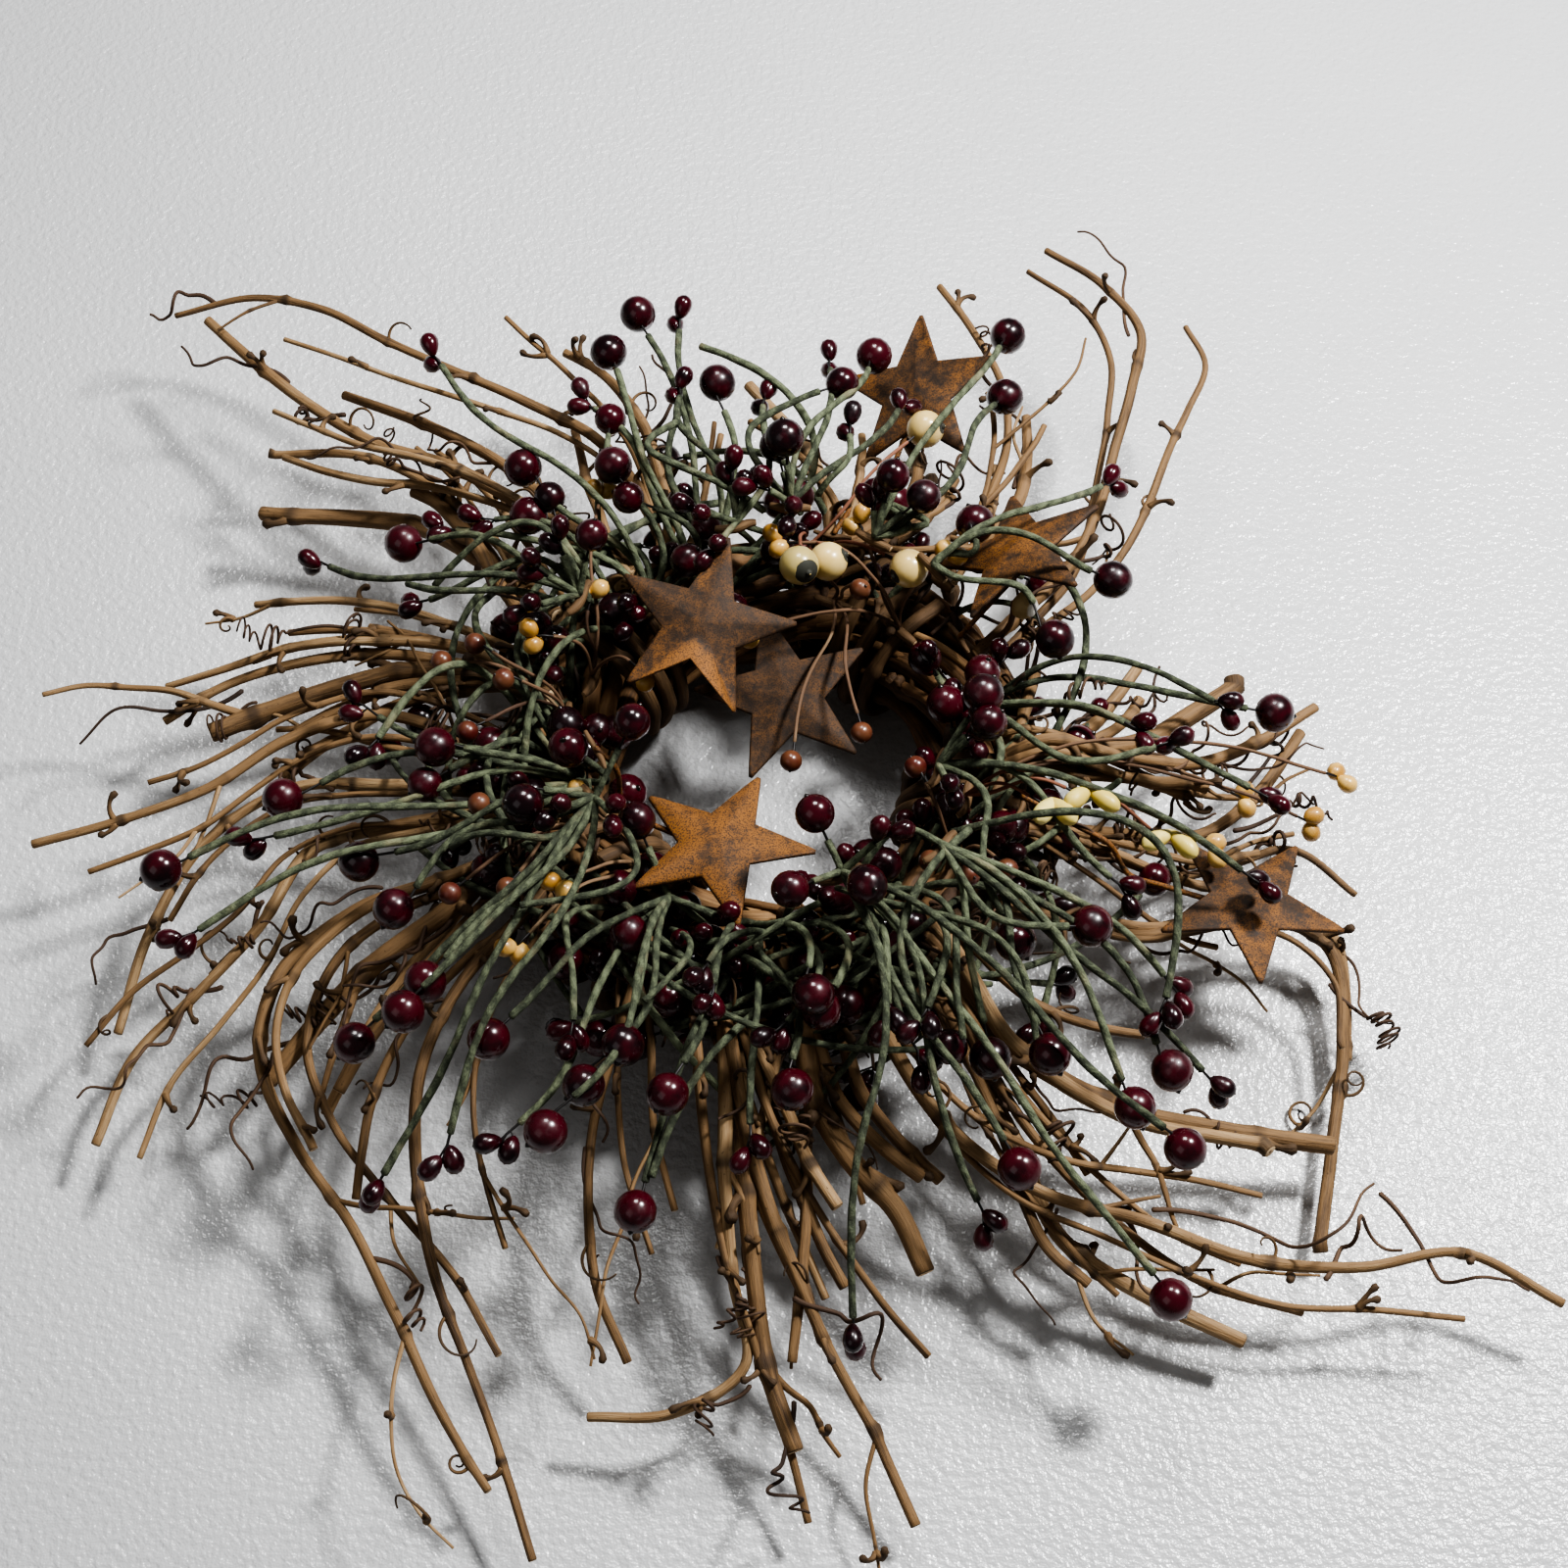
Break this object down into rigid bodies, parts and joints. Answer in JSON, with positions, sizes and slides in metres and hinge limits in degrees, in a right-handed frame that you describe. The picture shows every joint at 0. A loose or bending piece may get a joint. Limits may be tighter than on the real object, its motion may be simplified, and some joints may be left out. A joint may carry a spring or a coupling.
{
  "type": "harvest door wreath",
  "caption": "Round door wreath: a ring of twisted vines with dry canes, berry sprays on wrapped wire and small rusty tin stars fanning out from it.",
  "frame": {"origin": "middle of the wreath's outline in plan, on the plane its back rests on", "axes": "+Z out of the door towards the viewer, +Y towards the top of the wreath, +X to its right, with the wreath lying on its back"},
  "size_m": [0.4198, 0.4024, 0.0894],
  "materials": {
    "vine_bark": "matte bark",
    "wrap_bark": "matte dark bark",
    "cane_bark": "satin bark",
    "burgundy_berry": "gloss with a dusty bloom",
    "brown_hip": "satin",
    "mustard_pip": "satin",
    "cream_berry": "satin",
    "yellow_pip": "satin",
    "rusty_tin": "rusted brown"
  },
  "bodies": {
    "root": {"berry_spray_01": "burgundy_berry", "berry_spray_02": "burgundy_berry", "berry_spray_03": "burgundy_berry", "berry_spray_04": "burgundy_berry", "berry_spray_05": "burgundy_berry", "berry_spray_06": "burgundy_berry", "berry_spray_07": "burgundy_berry", "berry_spray_08": "burgundy_berry", "berry_spray_09": "burgundy_berry", "berry_spray_10": "burgundy_berry", "berry_spray_11": "burgundy_berry", "berry_spray_12": "burgundy_berry", "berry_spray_13": "burgundy_berry", "berry_spray_14": "burgundy_berry", "berry_spray_15": "burgundy_berry", "cane_bunch_01": "cane_bark", "cane_bunch_02": "cane_bark", "cane_bunch_03": "cane_bark", "cane_bunch_04": "cane_bark", "cane_bunch_05": "cane_bark", "cane_bunch_06": "cane_bark", "cane_bunch_07": "cane_bark", "cane_bunch_08": "cane_bark", "cane_bunch_09": "cane_bark", "cane_bunch_10": "cane_bark", "cane_bunch_11": "cane_bark", "cane_bunch_12": "cane_bark", "cane_bunch_13": "cane_bark", "cane_bunch_14": "cane_bark", "cane_bunch_15": "cane_bark", "cane_bunch_16": "cane_bark", "cane_bunch_17": "cane_bark", "cane_bunch_18": "cane_bark", "cane_bunch_19": "cane_bark", "cane_bunch_20": "cane_bark", "cream_spray": "cream_berry", "gold_spray_1": "mustard_pip", "gold_spray_2": "mustard_pip", "gold_spray_3": "mustard_pip", "gold_spray_4": "mustard_pip", "hip_spray_1": "brown_hip", "hip_spray_2": "brown_hip", "hip_spray_3": "brown_hip", "hip_spray_4": "brown_hip", "ring_vine_core": "vine_bark", "ring_vine_outer_1": "vine_bark", "ring_vine_outer_2": "vine_bark", "ring_vine_outer_3": "vine_bark", "ring_vine_outer_4": "vine_bark", "tin_star_1": "rusty_tin", "tin_star_2": "rusty_tin", "tin_star_3": "rusty_tin", "tin_star_4": "rusty_tin", "tin_star_5": "rusty_tin", "tin_star_6": "rusty_tin", "wrap_vine_1": "wrap_bark", "wrap_vine_2": "wrap_bark", "wrap_vine_3": "wrap_bark", "wrap_vine_4": "wrap_bark", "yellow_spray": "yellow_pip"}
  },
  "joints": []
}
